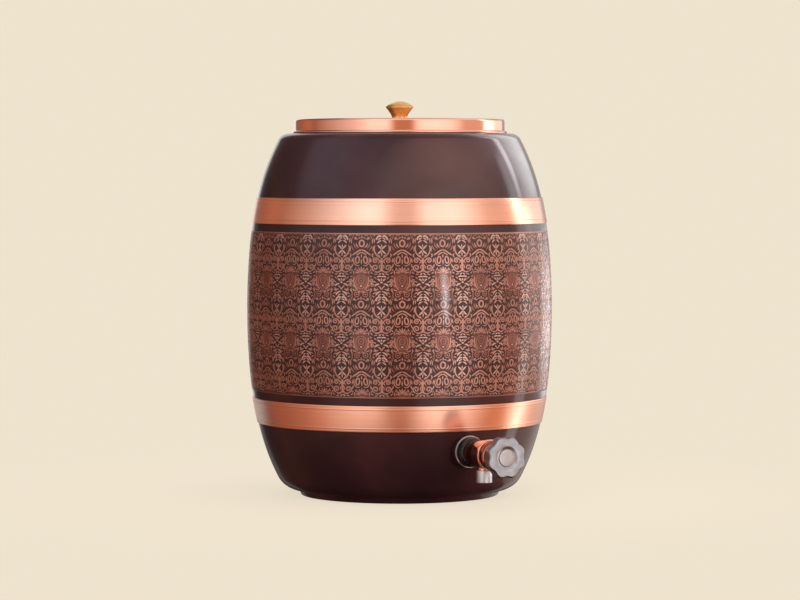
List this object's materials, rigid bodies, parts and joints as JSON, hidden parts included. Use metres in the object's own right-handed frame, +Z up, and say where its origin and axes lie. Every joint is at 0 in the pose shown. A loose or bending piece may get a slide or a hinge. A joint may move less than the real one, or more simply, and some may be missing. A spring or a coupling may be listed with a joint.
{
  "type": "water dispenser",
  "caption": "Barrel-shaped copper water dispenser with dark lacquer, bright hoops, a lift-off lid with a brass knob and a screw-down tap near the foot.",
  "frame": {"origin": "on the barrel's axis, in the plane of the foot ring's underside", "axes": "+Z up along the barrel's axis; the tap points along -Y"},
  "size_m": [0.2444, 0.2963, 0.3155],
  "materials": {
    "lacquer": "glossy dark brown lacquer on copper",
    "copper": "polished copper, lightly spun",
    "tap_copper": "polished copper colour",
    "brass": "polished brass",
    "satin": "satin silver",
    "chrome": "bright plated",
    "steel": "plain steel",
    "rubber": "smooth black rubber",
    "fibre": "red fibre"
  },
  "bodies": {
    "vessel": {"lower_shell": "lacquer", "upper_shell": "lacquer", "base_plate": "copper", "foot_ring": "lacquer", "neck_collar": "copper", "lower_hoop": "copper", "upper_hoop": "copper", "tap_boss": "lacquer", "seat_washer": "steel", "outer_gasket": "rubber", "tap_body": "tap_copper", "inner_gasket": "rubber", "backing_washer": "brass", "lock_nut": "brass", "bonnet_seal": "fibre", "bonnet": "tap_copper", "spout_nozzle": "chrome", "nozzle_seal": "rubber"},
    "lid": {"lid_cover": "copper", "lid_knob": "brass", "lid_washer": "brass", "lid_screw": "brass"},
    "valve": {"jumper": "brass", "valve_washer": "rubber", "washer_screw": "brass"},
    "knob": {"spindle": "brass", "spindle_o_ring": "rubber", "tap_knob": "satin", "knob_screw": "steel", "knob_cap": "satin"}
  },
  "joints": [
    {"name": "lid_lift", "type": "slide", "parent": "vessel", "child": "lid", "axis": [0, 0, 1], "range_m": [0, 0.12]},
    {"name": "valve_slide", "type": "slide", "parent": "vessel", "child": "valve", "axis": [0, -1, 0], "range_m": [0, 0.003]},
    {"name": "knob_turn", "type": "hinge", "parent": "valve", "child": "knob", "pos_m": [0, -0.168, 0.0429], "axis": [0, -1, 0], "range_deg": [0, 360]}
  ],
  "couplings": [
    {"joint": "knob_turn", "follows": "valve_slide", "rad_per_m": 2094.4}
  ]
}
